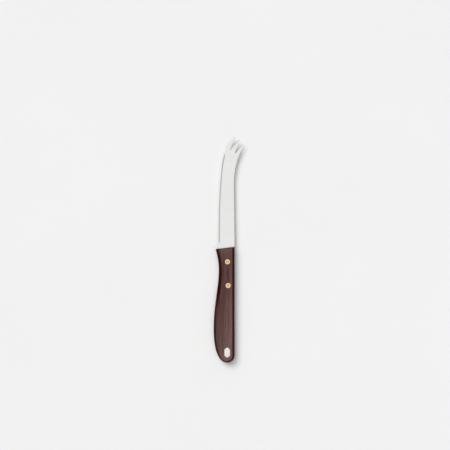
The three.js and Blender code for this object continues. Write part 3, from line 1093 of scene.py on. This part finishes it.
# Darkening by the pores is stain; darkening by the rim mask is painted shade.
red_stain_and_rim_shade = combine(tree, "MULTIPLY", open_pores, spread(tree, rim_shade_mask, 1.0, 0.45))
brown_stain_and_rim_shade = combine(tree, "MULTIPLY", open_pores, spread(tree, rim_shade_mask, 1.0, 0.24))
stain_and_rim_shade = add_node(tree, "CombineColor", {"Red": red_stain_and_rim_shade, "Green": brown_stain_and_rim_shade, "Blue": brown_stain_and_rim_shade})
board = blend_colours(tree, tone, WOOD_DARK, WOOD_PALE, WOOD_MIDDLE)
feed(tree, shader["Base Color"], mix(tree, 1.0, board, stain_and_rim_shade.outputs["Color"], "MULTIPLY"))
least_sheen = spread(tree, along, 0.05, 0.75, start=place(0, PALER_FROM).y, end=place(0, PALEST_FROM).y)
sheen = combine(tree, "MULTIPLY", spread(tree, tone, least_sheen, 1.0), spread(tree, rim_shade_mask, 1.0, 0.05))
feed(tree, shader["Coat Weight"], combine(tree, "MULTIPLY", sheen, spread(tree, pores, 1.0, 0.3)))
feed(tree, shader["Roughness"], spread(tree, strands, 0.5, 0.36))
relief = combine(tree, "SUBTRACT", combine(tree, "MULTIPLY", strands, 0.4), pores)
roughen(tree, shader, relief, strength=0.3, depth=0.05)
print("finish:", wood.name)

# %% [markdown]
# On the blade, the hollows of the teeth and the stamped edges are rougher and darker than the drawn faces.
# In the hollows the darker colour is painted shade. An attribute on the faces tells them apart: hollows lie
# close to the cutting edge and lean more than the long grind does, and stamped edges stand upright.

# %% Mark what the tools left rough, and the painted shade in the hollows
HOLLOW_REACH = 2.6
HOLLOW_STEEPEST = 0.02
HOLLOW_FLATTEST = 0.97
STAMPED_BELOW = 0.3
STAMPED = 0.65

rough_and_shaded_cut = blade.data.attributes.new("rough_and_shaded_cut", "FLOAT", "FACE")
for face, mark in zip(blade.data.polygons, rough_and_shaded_cut.data):
    near_edge = any((face.center.xy - spot.xy).length < HOLLOW_REACH * MM for spot in cutting_places)
    hollow_face = near_edge and HOLLOW_STEEPEST < face.normal.z < HOLLOW_FLATTEST
    # A full mark is painted shade in the hollows; the stamped edges get a part of the same darkening.
    mark.value = 1.0 if hollow_face else STAMPED if abs(face.normal.z) < STAMPED_BELOW else 0.0
print(sum(mark.value == 1.0 for mark in rough_and_shaded_cut.data), "faces in the hollows of the teeth")

# %% [markdown]
# The steel is drawn satin along its length: very fine lines that change the gloss more than the colour,
# with a little mottling from wiping. It is bare metal, so it is fully metallic and its colour is its
# reflection.

# %% Finish the steel
STEEL_DULL = (0.79, 0.785, 0.77)
STEEL_BRIGHT = (0.84, 0.835, 0.82)
STEEL_ROUGH_SHADE = (0.2, 0.2, 0.195, 1)

steel, tree, shader, where = new_finish("satin_steel", {"Metallic": 1.0})
lines = place_effect(tree, fibres, {
    "Vector": where, "Across": 3600.0, "Along": 26.0, "Low": 0.3, "High": 0.7})
wiped = place_effect(tree, handling, {"Vector": where, "Size": 70.0})
satin = combine(tree, "ADD", combine(tree, "MULTIPLY", lines, 0.7), combine(tree, "MULTIPLY", wiped, 0.3))
rough_and_shaded = marked(tree, "rough_and_shaded_cut")
drawn = blend_colours(tree, satin, STEEL_DULL, STEEL_BRIGHT)
# The dark colour that this mark mixes in is painted shade in the hollows of the teeth.
feed(tree, shader["Base Color"], mix(tree, rough_and_shaded, drawn, STEEL_ROUGH_SHADE))
gloss = combine(tree, "ADD", spread(tree, satin, 0.2, 0.32), spread(tree, rough_and_shaded, 0.0, 0.2))
feed(tree, shader["Roughness"], gloss)
roughen(tree, shader, lines, strength=0.12, depth=0.01)
print("finish:", steel.name)

# %% [markdown]
# A turned face shows fine rings round its axis. Each part of a rivet carries the distance from its own axis
# as an attribute, and noise along that distance makes the rings, wherever the rivet stands.

# %% Mark the turning rings
for end, spot in rivets.items():
    axis = place(spot.x, spot.y)
    for part in (pins[end], washers[end, "left"], washers[end, "right"]):
        from_axis = part.data.attributes.new("from_axis", "FLOAT", "POINT")
        for corner, mark in zip(part.data.vertices, from_axis.data):
            mark.value = (corner.co.xy - axis.xy).length / MM
print("rings marked on", len(pins) + len(washers), "parts")

# %% [markdown]
# Washers and pins are turned brass, the washers of a paler, pinker sort. So one function makes both
# finishes from two colours each. Handling dulls the brass in soft patches.

# %% Finish the brass


def brass(name, dull, bright):
    finish, tree, shader, where = new_finish(name, {"Metallic": 1.0})
    distance = marked(tree, "from_axis")
    turning = {"W": distance, "Scale": 9.0, "Detail": 3.0}
    rings = add_node(tree, "TexNoise", turning, noise_dimensions="1D").outputs["Fac"]
    wear_and_rim_shade = place_effect(tree, handling, {"Vector": where, "Size": 900.0})
    shine = combine(tree, "ADD", combine(tree, "MULTIPLY", rings, 0.5), combine(tree, "MULTIPLY", wear_and_rim_shade, 0.5))
    feed(tree, shader["Base Color"], blend_colours(tree, shine, dull, bright))
    feed(tree, shader["Roughness"], spread(tree, shine, 0.32, 0.2))
    roughen(tree, shader, rings, strength=0.15, depth=0.02)
    return finish


pin_brass = brass("yellow_brass", dull=(0.65, 0.40, 0.145), bright=(0.78, 0.50, 0.215))
washer_brass = brass("pale_brass", dull=(0.86, 0.60, 0.40), bright=(0.95, 0.69, 0.48))
print("finishes:", pin_brass.name, washer_brass.name)

# %% [markdown]
# The badge is white enamel: glossy, very slightly warm, and a touch uneven. The floor is pale paper without
# any gloss. Both are a cloudy colour with a roughness to match, so they share a function too.

# %% Finish the badge and the floor's paper


def clouded(name, constants, size, colours, roughness):
    finish, tree, shader, where = new_finish(name, constants)
    clouds = place_effect(tree, handling, {"Vector": where, "Size": size})
    feed(tree, shader["Base Color"], blend_colours(tree, clouds, *colours))
    feed(tree, shader["Roughness"], spread(tree, clouds, *roughness))
    return finish


enamel = clouded(
    "white_enamel", {"Coat Weight": 0.4, "Coat Roughness": 0.1}, size=400.0,
    colours=((0.80, 0.715, 0.72), (0.86, 0.775, 0.78)), roughness=(0.38, 0.3))
paper = clouded(
    "pale_paper", {"Specular IOR Level": 0.0}, size=6.0,
    colours=((0.882, 0.882, 0.88), (0.894, 0.894, 0.892)), roughness=(0.95, 0.9))
print("finishes:", enamel.name, paper.name)

# %% [markdown]
# The finishes go onto the pieces by their slots. The floor lies a hair under the knife, so that the two
# never share a plane, and it is wide enough to fill every view.

# %% Put the finishes on and lay the floor
FLOOR_SIZE = 12.0
FLOOR_GAP = 0.05

finishes = {
    "wood": wood, "steel": steel, "badge": enamel, "pin_brass": pin_brass, "washer_brass": washer_brass}
for piece, node, slot in new_pieces:
    piece.data.materials.clear()
    piece.data.materials.append(finishes[slot])

bpy.ops.object.select_all(action="DESELECT")
bpy.ops.mesh.primitive_plane_add(size=FLOOR_SIZE, location=(0, 0, cad_low.z - FLOOR_GAP * MM))
floor = bpy.context.object
floor.name = "floor"
floor.data.materials.append(paper)
print("finishes on", len(new_pieces), "pieces and the floor")
